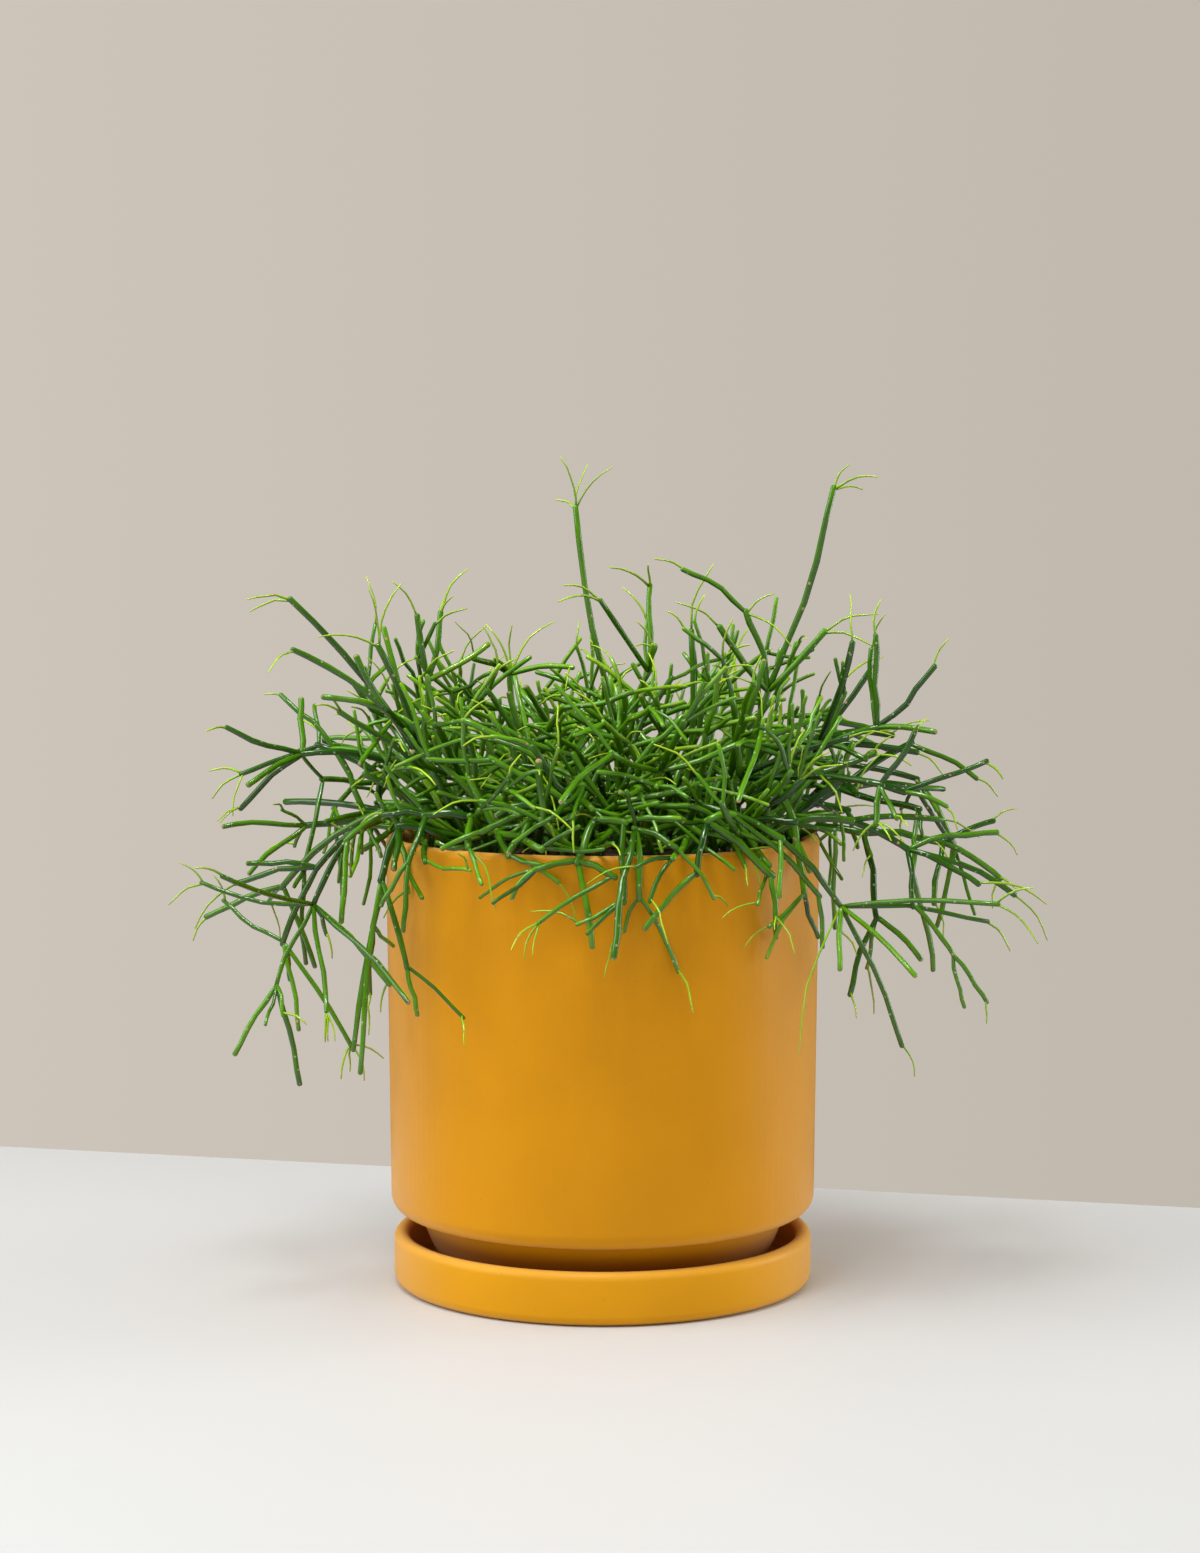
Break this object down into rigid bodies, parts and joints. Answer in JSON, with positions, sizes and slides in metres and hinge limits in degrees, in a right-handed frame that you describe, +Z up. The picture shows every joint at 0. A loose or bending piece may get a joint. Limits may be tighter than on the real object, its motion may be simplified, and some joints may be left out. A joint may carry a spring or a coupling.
{
  "type": "mistletoe cactus in a pot",
  "caption": "Mistletoe cactus with thin, branching, hanging round stems, in a straight ochre ceramic pot standing on its saucer.",
  "frame": {"origin": "middle of the saucer's flat underside, on the surface that it stands on", "axes": "+Z up, -Y the front that the picture shows, +X to the right seen from the front"},
  "size_m": [0.3505, 0.2975, 0.3391],
  "materials": {
    "saucer": "satin ochre glaze",
    "pot": "satin ochre glaze",
    "potting_mix": "moist dark potting mix",
    "stem": "smooth satin green skin"
  },
  "bodies": {
    "root": {"saucer": "saucer", "pot": "pot", "potting_mix": "potting_mix", "stem_left_arch": "stem", "stem_left_fork": "stem", "stem_left_shelf": "stem", "stem_left_core": "stem", "stem_left_whorl": "stem", "stem_left_low_whorl": "stem", "stem_middle_tall": "stem", "stem_middle_crown": "stem", "stem_middle_right": "stem", "stem_right_crown": "stem", "stem_right_fan": "stem", "stem_right_back_fan": "stem", "stem_right_step": "stem", "stem_right_shelf": "stem", "stem_right_arm": "stem", "stem_right_back_arm": "stem", "stem_right_drop": "stem", "stem_front_right": "stem", "stem_front_right_low": "stem", "stem_front_middle": "stem", "stem_front_left": "stem", "stem_front_left_low": "stem", "stem_left_arm": "stem", "stem_left_back_arm": "stem", "stem_left_eaves": "stem", "stem_left_fringe": "stem", "stem_back_rim_1": "stem", "stem_back_rim_2": "stem", "stem_back_rim_3": "stem", "stem_back_rim_4": "stem", "stem_back_rim_5": "stem", "stem_back_rim_6": "stem", "stem_back_rim_7": "stem", "stem_back_1": "stem", "stem_back_2": "stem", "stem_back_3": "stem", "stem_back_4": "stem", "stem_back_5": "stem", "stem_middle_1": "stem", "stem_middle_2": "stem", "stem_middle_3": "stem", "stem_front_1": "stem", "stem_front_3": "stem", "stem_front_4": "stem", "stem_middle_4": "stem"}
  },
  "joints": []
}
